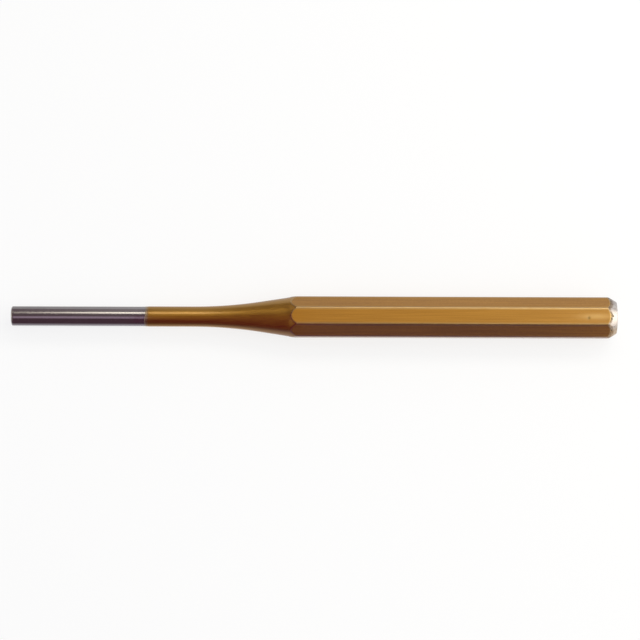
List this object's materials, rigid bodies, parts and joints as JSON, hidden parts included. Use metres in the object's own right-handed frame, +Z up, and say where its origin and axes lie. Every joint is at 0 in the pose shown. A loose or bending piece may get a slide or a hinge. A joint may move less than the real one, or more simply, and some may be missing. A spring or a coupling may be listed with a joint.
{
  "type": "pin punch",
  "caption": "Pin punch with a round ground pin, a hollow-swept neck and a gold lacquered octagonal shank that ends in a chamfered, crowned head; drives pins out of their holes under a hammer.",
  "frame": {"origin": "on the surface that the punch lies on, under the middle of its length and width", "axes": "+X along the punch from the pin to the head, +Z up out of the top flat, +Y across the shank"},
  "size_m": [0.15, 0.01, 0.01],
  "materials": {
    "ground_steel": "hardened tool steel, ground bright with fine lines round the pin and over the head",
    "gold_lacquer": "satin gold metallic lacquer, thin at the long edges"
  },
  "bodies": {
    "root": {"pin": "ground_steel", "neck": "ground_steel", "shank": "ground_steel", "lacquer_coat": "gold_lacquer"}
  },
  "joints": []
}
